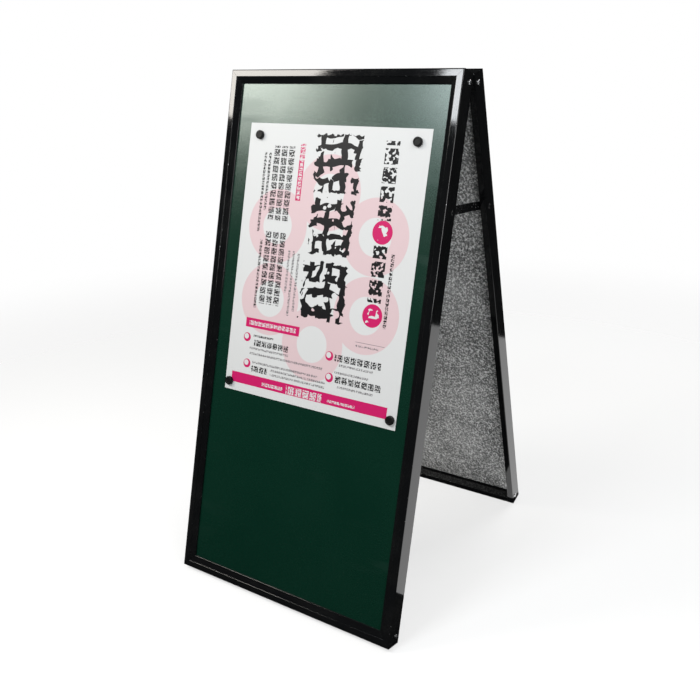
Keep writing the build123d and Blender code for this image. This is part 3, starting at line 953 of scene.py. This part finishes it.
@dataclass
class PanelFrame:
    """Four mitred lengths of extrusion and the screws that hold their corners."""

    panel: Panel
    box_width: float = 16 * MM
    front_radius: float = 3 * MM
    shoulder_radius: float = 1 * MM
    back_radius: float = 1.5 * MM
    lip_width: float = 13 * MM
    lip_step: float = 1.5 * MM
    lip_drop: float = 8 * MM
    lip_wall: float = 1.6 * MM
    lip_radius: float = 0.7 * MM
    ledge_width: float = 5 * MM
    ledge_wall: float = 1.6 * MM
    arris: float = 0.25 * MM
    mitre_gap: float = 0.06 * MM
    mitre_arris: float = 0.22 * MM
    screw_head_radius: float = 4.6 * MM
    screw_head_height: float = 2.4 * MM
    screw_rounding: float = 1.3 * MM
    recess_radius: float = 2.4 * MM
    recess_core: float = 1.0 * MM
    recess_depth: float = 1.3 * MM
    recess_taper: float = 0.8
    screw_steps: int = 24

    def outline(self) -> list[tuple[float, float, float]]:
        """Section of the extrusion: inward place, outward place and rounding of each corner."""
        name = self.panel.name
        low, high = self.panel.span(f"{name}_rail_top")
        depth = high.z - low.z
        board_front = self.panel.span(f"{name}_board_face")[1].z
        board_back = self.panel.span(f"{name}_board_back")[0].z
        box, lip, ledge = self.box_width, self.box_width + self.lip_width, self.box_width + self.ledge_width
        return [
            (0.0, 0.0, self.back_radius),
            (box, 0.0, self.back_radius),
            (box, board_back - self.ledge_wall, self.arris),
            (ledge, board_back - self.ledge_wall, self.arris),
            (ledge, board_back, self.arris),
            (box, board_back, self.arris),
            (box, depth - self.lip_step - self.lip_wall, self.arris),
            (lip - self.lip_wall, depth - self.lip_drop - self.lip_wall, self.arris),
            (lip - self.lip_wall, board_front, self.arris),
            (lip, board_front, self.arris),
            (lip, depth - self.lip_drop, self.lip_radius),
            (box, depth - self.lip_step, self.arris),
            (box, depth, self.shoulder_radius),
            (0.0, depth, self.front_radius),
        ]

    def member(self, name: str, corner: Vector, inward: Vector, length: float) -> None:
        """Build one mitred length of the extrusion.

        Args:
            name: the node of the design that it stands for.
            corner: outer corner where it begins, in the panel's axes.
            inward: direction from its outer edge towards the board, in the panel's axes.
            length: its length along the outer edge.
        """
        shape = Shape()
        face = shape.outline(self.outline())
        rim = [loop.vert for loop in face.loops]
        travelled = 0.0
        previous = rim[-1].co.copy()
        for vertex in rim:
            travelled += (vertex.co - previous).length
            previous = vertex.co.copy()
            vertex[shape.girth] = travelled
        shape.extrude(face, length * Z_AXIS)
        gap = self.mitre_gap * Z_AXIS
        ends = shape.cut(gap, X_AXIS - Z_AXIS)
        ends += shape.cut(length * Z_AXIS - gap, X_AXIS + Z_AXIS)
        shape.face_outwards()
        shape.bevel({edge for end in ends for edge in end.edges}, self.mitre_arris, segments=2)
        for vertex in shape.mesh.verts:
            vertex[shape.along] = vertex.co.z
        matrix = self.panel.basis(inward, Z_AXIS, inward.cross(Z_AXIS), corner)
        shape.place(matrix, shape.mesh.verts)
        shape.finish(f"{name}_extrusion", self.panel.body, Slot.FRAME, name)

    def screw(self, shape: Shape, matrix: Matrix) -> None:
        """Add one pan head screw with a crossed recess, its seat in the matrix's XY plane."""
        radius, height = self.screw_head_radius, self.screw_head_height
        profile = [
            (0.0, 0.0),
            (radius, 0.0),
            (radius, height),
            (self.recess_radius, height),
            (self.recess_core, height),
            (0.0, height),
        ]
        verts, faces = shape.turn(profile, self.screw_steps)
        top = [face for face in faces if min(v.co.z for v in face.verts) > height - SAME_PLACE]
        sector = 2 * pi / self.screw_steps
        cross = []
        for face in top:
            middle = face.calc_center_median()
            arm = abs(sin(2 * atan2(middle.y, middle.x))) < sin(2 * sector)
            if middle.xy.length < self.recess_core or (arm and middle.xy.length < self.recess_radius):
                cross.append(face)
        shape.bevel(shape.ring(verts, radius, height), self.screw_rounding, segments=5)
        sunk = [face for face in cross if face.is_valid]
        shape.press(sunk, -self.recess_depth * Z_AXIS, self.recess_taper)
        shape.settle(matrix)

    def screws(self) -> None:
        """Build the four screws through the stiles into the corner keys."""
        name = f"{self.panel.name}_corner_screws"
        low, high = self.panel.span(name)
        shape = Shape()
        across = self.panel.span(f"{self.panel.name}_rail_top")[1].x
        out = (low.z + high.z) / 2
        for hand in HANDS.values():
            for up in (high.y - self.screw_head_radius, low.y + self.screw_head_radius):
                facing = hand * X_AXIS
                seat = Vector((hand * across, up, out))
                self.screw(shape, self.panel.basis(Y_AXIS, facing.cross(Y_AXIS), facing, seat))
        shape.finish(f"{name}_set", self.panel.body, Slot.SCREW, name)

    def build(self) -> None:
        """Build the whole frame."""
        name = self.panel.name
        half = self.panel.span(f"{name}_rail_top")[1].x
        tall = -self.panel.span(f"{name}_rail_bottom")[0].y
        for hand_name, hand in HANDS.items():
            place = hand * self.panel.across.x
            corner = Vector((place * half, -tall if place > 0 else 0.0, 0.0))
            self.member(f"{name}_stile_{hand_name}", corner, -place * X_AXIS, tall)
        self.member(f"{name}_rail_top", half * X_AXIS, -Y_AXIS, 2 * half)
        self.member(f"{name}_rail_bottom", Vector((-half, -tall, 0.0)), Y_AXIS, 2 * half)
        self.screws()


# ---------------------------------------------------------------- stays


@dataclass
class Stays:
    """Two folding stays: flat links, the rivets they turn on and their spacers."""

    rivet_radius: float = 2.5 * MM
    head_radius: float = 4.5 * MM
    head_rounding: float = 1.3 * MM
    head_shoulder: float = 0.75
    seat_gap: float = 0.1 * MM
    rivet_steps: int = 28
    link_rounding: float = 0.4 * MM
    link_end: float = 0.999
    link_steps: int = 14
    link_weld: float = 30 * UM

    def joint_place(self, name: str) -> Vector:
        """Where a joint of the design turns."""
        return Vector(next(joint["pos_m"] for joint in frame["joints"] if joint["name"] == name))

    def link(self, side: str, hand_name: str, knee: Vector) -> None:
        """Build one flat link with round ends, from its panel's pivot to the knee."""
        node = f"stay_{side}_link_{hand_name}"
        low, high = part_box(node)
        pivot = self.joint_place(f"{side}_link_{hand_name}_pivot")
        middle = (low.x + high.x) / 2
        pivot.x = knee.x = middle
        run = knee - pivot
        thick = high.x - low.x
        half = self.half_height(node, run.normalized())
        shape = Shape()
        round_end = half * self.link_end
        corners = [(-half, -half), (run.length + half, -half), (run.length + half, half), (-half, half)]
        face = shape.outline([(x, y, round_end) for x, y in corners], self.link_steps)
        shape.extrude(face, thick * Z_AXIS)
        bmesh.ops.remove_doubles(shape.mesh, verts=shape.mesh.verts, dist=self.link_weld)
        shape.face_outwards()
        flats = [face for face in shape.mesh.faces if abs(face.normal.z) > FLAT_ENOUGH]
        shape.bevel({edge for flat in flats for edge in flat.edges}, self.link_rounding)
        for vertex in shape.mesh.verts:
            vertex[shape.along] = vertex.co.x
            vertex[shape.girth] = vertex.co.y
        forward = run.normalized()
        turned = Matrix((forward, X_AXIS.cross(forward), X_AXIS)).transposed().to_4x4()
        start = Vector((low.x, pivot.y, pivot.z))
        shape.place(Matrix.Translation(start) @ turned, shape.mesh.verts)
        shape.finish(f"{node}_bar", f"{side}_link_{hand_name}", Slot.STAY, node)

    def half_height(self, node: str, forward: Vector) -> float:
        """Half the height of a link, across the way it runs."""
        upright = X_AXIS.cross(forward)
        heights = [vertex.co.dot(upright) for vertex in frame["nodes"][node].data.vertices]
        return (max(heights) - min(heights)) / 2

    def rivet(
        self, shape: Shape, centre: Vector, low: float, high: float, shank: tuple[float, float]
    ) -> None:
        """Add one rivet along X with a domed head at each end.

        Args:
            shape: the mesh to add it to.
            centre: a point on its axis.
            low: where it begins along X.
            high: where it ends along X.
            shank: where its shank begins and ends along X; a head fills each end beyond.
        """
        profile = [(0.0, low)]
        if shank[0] > low:
            profile += [(self.head_radius, low), (self.head_radius, shank[0])]
        profile += [(self.rivet_radius, shank[0]), (self.rivet_radius, shank[1])]
        if high > shank[1]:
            profile += [(self.head_radius, shank[1]), (self.head_radius, high)]
        profile += [(0.0, high)]
        verts = shape.turn(profile, self.rivet_steps)[0]
        rims = []
        for end, inner in ((low, shank[0]), (high, shank[1])):
            rounding = min(self.head_rounding, self.head_shoulder * abs(inner - end))
            if rounding > 0:
                rims.append((shape.ring(verts, self.head_radius, end), rounding))
        for rim, rounding in rims:
            shape.bevel([edge for edge in rim if edge.is_valid], rounding, segments=4)
        along_x = Matrix((Z_AXIS, X_AXIS, Y_AXIS)).to_4x4()
        shape.settle(Matrix.Translation(Vector((0.0, centre.y, centre.z))) @ along_x)

    def end_rivets(self, side: str) -> None:
        """Build the pair of rivets that hold one panel's links to its stiles."""
        node = f"{side}_stay_rivets"
        shape = Shape()
        low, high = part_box(node)
        stile_low, stile_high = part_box(f"{side}_rail_top")
        for hand_name, hand in HANDS.items():
            link_low, link_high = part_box(f"stay_{side}_link_{hand_name}")
            centre = self.joint_place(f"{side}_link_{hand_name}_pivot")
            inner_end = self.inner_end(node, hand)
            inner_seat = (link_high.x if hand < 0 else link_low.x) - hand * self.seat_gap
            outer_end = high.x if hand > 0 else low.x
            outer_seat = stile_high.x if hand > 0 else stile_low.x
            ends = sorted((inner_end, outer_end))
            seats = sorted((inner_seat, outer_seat))
            self.rivet(shape, centre, ends[0], ends[1], (seats[0], seats[1]))
        shape.finish(f"{node}_set", f"{side}_panel", Slot.STAY, node)

    def inner_end(self, node: str, hand: int) -> float:
        """How far towards the middle a rivet of one side reaches."""
        places = [hand * vertex.co.x for vertex in frame["nodes"][node].data.vertices]
        return hand * min(place for place in places if place > 0)

    def knee(self, half: str, hand_name: str) -> Vector:
        """Build one half of a knee rivet and return where the knee is.

        Args:
            half: outer for the half on the front link, inner for the one on the rear link.
            hand_name: left or right.

        Returns:
            Middle of the knee.
        """
        node = f"stay_knee_{half}_half_{hand_name}"
        side = "front" if half == "outer" else "rear"
        low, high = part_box(node)
        link_low, link_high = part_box(f"stay_{side}_link_{hand_name}")
        centre = (low + high) / 2
        if low.x < link_low.x - 10 * UM:
            shank = (link_low.x, high.x)
        else:
            shank = (low.x, link_high.x)
        shape = Shape()
        self.rivet(shape, centre, low.x, high.x, shank)
        shape.finish(f"{node}_domed", f"{side}_link_{hand_name}", Slot.STAY, node)
        return centre

    def build(self) -> None:
        """Build both stays."""
        for hand_name in HANDS:
            knee = self.knee("outer", hand_name)
            self.knee("inner", hand_name)
            for side in ("front", "rear"):
                self.link(side, hand_name, knee.copy())
        for side in ("front", "rear"):
            self.end_rivets(side)


# ---------------------------------------------------------------- poster and magnets


@dataclass
class Poster:
    """Printed sheet, bowed a little off the board between its magnets."""

    panel: Panel
    columns: int = 72
    rows: int = 94
    edge_lift: float = 1.6 * MM
    middle_lift: float = 0.55 * MM
    hold: float = 46 * MM
    thickness: float = 0.25 * MM
    clearance: float = 0.02 * MM
    side_share: float = 0.35
    side_power: int = 8
    foot_share: float = 0.8
    foot_power: int = 14
    head_share: float = 0.4
    head_power: int = 18
    waves_across: tuple[float, float] = (3.0, 1.1)
    waves_up: tuple[float, float] = (2.0, 0.4)

    def build(self, pins: Sequence[Vector]) -> None:
        """Build the sheet.

        Args:
            pins: middle of each magnet, in the panel's axes.
        """
        low, high = self.panel.span("poster_sheet")
        size = high - low
        shape = Shape()
        bmesh.ops.create_grid(shape.mesh, x_segments=self.columns, y_segments=self.rows, size=0.5)
        uv = shape.mesh.loops.layers.uv.new("sheet")
        for face in shape.mesh.faces:
            for loop in face.loops:
                loop[uv].uv = (loop.vert.co.x + 0.5, loop.vert.co.y + 0.5)
        middle = (low + high) / 2
        bmesh.ops.scale(shape.mesh, vec=(size.x, size.y, 1.0), verts=shape.mesh.verts)
        seat = (middle.x, middle.y, low.z + self.clearance)
        bmesh.ops.translate(shape.mesh, vec=seat, verts=shape.mesh.verts)
        for vertex in shape.mesh.verts:
            vertex.co.z += self.lift(vertex.co, low, high, pins)
        bmesh.ops.solidify(shape.mesh, geom=list(shape.mesh.faces), thickness=-self.thickness)
        shape.face_outwards()
        shape.place(self.panel.matrix, shape.mesh.verts)
        piece = shape.finish("poster_print", self.panel.body, Slot.PAPER, "poster_sheet")

    def lift(self, place: Vector, low: Vector, high: Vector, pins: Sequence[Vector]) -> float:
        """How far the sheet stands off the board at a place: none at a magnet, most at free edges."""
        across = (place.x - low.x) / (high.x - low.x)
        up = (place.y - low.y) / (high.y - low.y)
        swell = sin(pi * across) * sin(pi * up)
        side = self.side_share * (2 * across - 1) ** self.side_power * sin(pi * up)
        foot = self.foot_share * (1 - up) ** self.foot_power * sin(pi * across)
        head = self.head_share * up**self.head_power * swell
        crests = [
            sin(count * pi * share + start)
            for (count, start), share in ((self.waves_across, across), (self.waves_up, up))
        ]
        wavy = (1 + crests[0] * crests[1]) / 2
        raised = self.edge_lift * (side + foot + head) + self.middle_lift * swell * wavy
        for pin in pins:
            near = min(1.0, (place.xy - pin.xy).length / self.hold)
            raised *= near * near * (3 - 2 * near)
        return raised


@dataclass
class Magnets:
    """Four round magnets: a moulded cap with a dished top, and a ferrite disc in its pocket."""

    panel: Panel
    rounding: float = 2.2 * MM
    dish_radius: float = 6.2 * MM
    dish_depth: float = 0.8 * MM
    pocket_wall: float = 2.85 * MM
    pocket_depth: float = 4.2 * MM
    dish_slope: float = 0.7 * MM
    dish_rounding: float = 0.35 * MM
    foot_rounding: float = 0.3 * MM
    steps: int = 48

    def middle(self, corner: str) -> Vector:
        """Middle of a magnet's foot, in the panel's axes."""
        low, high = self.panel.span(f"magnet_cap_{corner}")
        return Vector(((low.x + high.x) / 2, (low.y + high.y) / 2, low.z))

    def cap(self, corner: str) -> None:
        """Build one cap."""
        node = f"magnet_cap_{corner}"
        low, high = self.panel.span(node)
        radius, tall = (high.x - low.x) / 2, high.z - low.z
        pocket = radius - self.pocket_wall
        profile = [
            (0.0, self.pocket_depth),
            (pocket, self.pocket_depth),
            (pocket, 0.0),
            (radius, 0.0),
            (radius, tall),
            (self.dish_radius, tall),
            (self.dish_radius - self.dish_slope, tall - self.dish_depth),
            (0.0, tall - self.dish_depth),
        ]
        shape = Shape()
        shape.turn(profile, self.steps)
        shape.bevel(shape.ring(shape.mesh.verts, radius, tall), self.rounding, segments=6)
        shape.bevel(shape.ring(shape.mesh.verts, self.dish_radius, tall), self.dish_rounding)
        shape.bevel(shape.ring(shape.mesh.verts, radius, 0.0), self.foot_rounding, segments=2)
        shape.place(self.panel.matrix @ Matrix.Translation(self.middle(corner)), shape.mesh.verts)
        shape.finish(f"{node}_moulded", f"magnet_{corner}", Slot.MAGNET, node)

    def build(self) -> list[Vector]:
        """Build the four caps and return where their middles are."""
        for corner in CORNERS:
            self.cap(corner)
        return [self.middle(corner) for corner in CORNERS]


# ---------------------------------------------------------------- carried-over nodes


def dress_nodes() -> None:
    """Give every node that stays as designed the finish of its slot."""
    for row in frame["record"]["subparts"]:
        slot = Slot(row["material_slot"])
        for holder in frame["nodes"][row["node"]].material_slots:
            holder.material = Workshop.finish(slot)


# ---------------------------------------------------------------- studio


class Reach(Enum):
    """Surfaces that a light falls on."""

    ALL = "all"
    GLOSSY = "glossy"


@dataclass(frozen=True)
class Softbox:
    """Rectangular area light, lit evenly and unseen by the camera."""

    name: str
    middle: tuple[float, float, float]
    aim: tuple[float, float, float]
    size: tuple[float, float]
    radiance: float
    tint: Colour = WHITE
    reach: Reach = Reach.ALL

    def build(self) -> None:
        """Hang the light, its face towards what it is aimed at."""
        light = bpy.data.lights.new(self.name, "AREA")
        light.shape = "RECTANGLE"
        light.size, light.size_y = self.size
        light.energy = self.radiance * pi * self.size[0] * self.size[1]
        light.color = self.tint
        piece = bpy.data.objects.new(self.name, light)
        piece.location = self.middle
        facing = Vector(self.aim) - Vector(self.middle)
        piece.rotation_euler = facing.to_track_quat("-Z", "Y").to_euler()
        piece.visible_camera = False
        piece.visible_diffuse = self.reach is Reach.ALL
        bpy.context.scene.collection.objects.link(piece)


SOFTBOXES = (
    Softbox("key_left", (-1.623, -1.172, 2.092), (-0.15, -0.05, 1.1), (0.9, 0.8), 15.5, (1.0, 0.955, 0.89)),
    Softbox("front_high", (-0.335, -1.615, 2.2), (0.28, -0.07, 1.06), (0.7, 0.7), 18.0, (0.94, 0.97, 1.0)),
    Softbox("fill_right", (1.75, -1.65, 1.45), (0.1, 0.0, 0.8), (1.0, 1.0), 6.0),
    Softbox("back_high", (0.5, 2.0, 2.2), (0.0, 0.2, 0.7), (1.3, 1.0), 7.0),
    Softbox("side_right", (1.6, -0.7, 2.0), (0.2, 0.12, 0.85), (0.8, 0.6), 6.0),
    Softbox("floor_bounce", (1.0, 0.69, 0.02), (1.0, 0.69, 1.0), (1.5, 1.78), 1.3, reach=Reach.GLOSSY),
)


@dataclass
class Studio:
    """Pale floor that fades into a white room, soft lights and the camera."""

    floor_half: float = 9.0
    fade_start: float = 1.2
    fade_end: float = 3.5
    thinness: float = 0.62
    floor_tone: Colour = (0.95, 0.95, 0.95)
    floor_in_gloss: Colour = (0.02, 0.02, 0.02)
    room_seen: float = 1.0
    room_light: float = 0.28
    room_in_gloss: float = 0.013
    lens: float = 37.93
    sensor: float = 36.0
    shift: tuple[float, float] = (-0.107, -0.010)
    stand: Vector = field(default_factory=lambda: Vector((0.9804, -1.4084, 1.1472)))
    heading: float = 29.373
    tilt: float = 19.693

    def floor(self) -> None:
        """Lay the floor, whose far parts fade into the room."""
        material = bpy.data.materials.new("studio_floor")
        graph = Graph(material)
        where = graph.node("ShaderNodeTexCoord").outputs["Object"]
        made = graph.node("ShaderNodeVectorMath", {"operation": "LENGTH"}, {0: where})
        far = Value(graph, made.outputs["Value"]).ramp(self.fade_start, self.fade_end)
        fade = self.thinness + far * (1.0 - self.thinness)
        rays = graph.node("ShaderNodeLightPath")
        glossy = Value(graph, rays.outputs["Is Glossy Ray"])
        tone = graph.colour(glossy, self.floor_tone, self.floor_in_gloss)
        paint = graph.node("ShaderNodeBsdfDiffuse", {}, {"Color": tone})
        clear = graph.node("ShaderNodeBsdfTransparent")
        mixed = graph.node("ShaderNodeMixShader", {}, {0: fade, 1: paint.outputs[0], 2: clear.outputs[0]})
        graph.node("ShaderNodeOutputMaterial", {}, {"Surface": mixed.outputs[0]})
        mesh = bmesh.new()
        bmesh.ops.create_grid(mesh, x_segments=1, y_segments=1, size=self.floor_half)
        data = bpy.data.meshes.new("studio_floor")
        mesh.to_mesh(data)
        mesh.free()
        data.materials.append(material)
        floor = bpy.data.objects.new("studio_floor", data)
        bpy.context.scene.collection.objects.link(floor)

    def room(self) -> None:
        """Light the room: white to look at, dim as a light, dark in reflections."""
        world = bpy.data.worlds.new("studio_room")
        bpy.context.scene.world = world
        graph = Graph(world)
        rays = graph.node("ShaderNodeLightPath").outputs
        mixed = self.backdrop(graph, self.room_light)
        for test, strength in (("Is Glossy Ray", self.room_in_gloss), ("Is Camera Ray", self.room_seen)):
            sockets = {0: rays[test], 1: mixed, 2: self.backdrop(graph, strength)}
            mixed = graph.node("ShaderNodeMixShader", {}, sockets).outputs[0]
        graph.node("ShaderNodeOutputWorld", {}, {"Surface": mixed})

    def backdrop(self, graph: Graph, strength: float) -> bpy.types.NodeSocket:
        """A white room of one brightness."""
        sockets = {"Color": (*WHITE, 1.0), "Strength": strength}
        return graph.node("ShaderNodeBackground", {}, sockets).outputs[0]

    def camera(self) -> None:
        """Stand the camera at the front right, looking a little down."""
        data = bpy.data.cameras.new("camera")
        data.sensor_width = self.sensor
        data.lens = self.lens
        data.shift_x, data.shift_y = self.shift
        camera = bpy.data.objects.new("camera", data)
        camera.location = self.stand
        camera.rotation_euler = (radians(90.0 - self.tilt), 0.0, radians(self.heading))
        bpy.context.scene.collection.objects.link(camera)
        bpy.context.scene.camera = camera

    def build(self) -> None:
        """Set the whole studio."""
        self.floor()
        self.room()
        for softbox in SOFTBOXES:
            softbox.build()
        self.camera()
        bpy.context.scene.view_settings.view_transform = "Standard"


def main() -> None:
    """Build the board's pieces in order, then the studio."""
    logging.basicConfig(level=logging.INFO, format="%(name)s %(message)s")
    front = Panel.find("front", -1)
    rear = Panel.find("rear", 1)
    log.info("lean %.2f degrees", degrees(atan2(front.out.z, -front.out.y)))
    dress_nodes()
    for panel in (front, rear):
        PanelFrame(panel).build()
    Stays().build()
    pins = Magnets(front).build()
    Poster(front).build(pins)
    Studio().build()


if __name__ == "__main__":
    main()
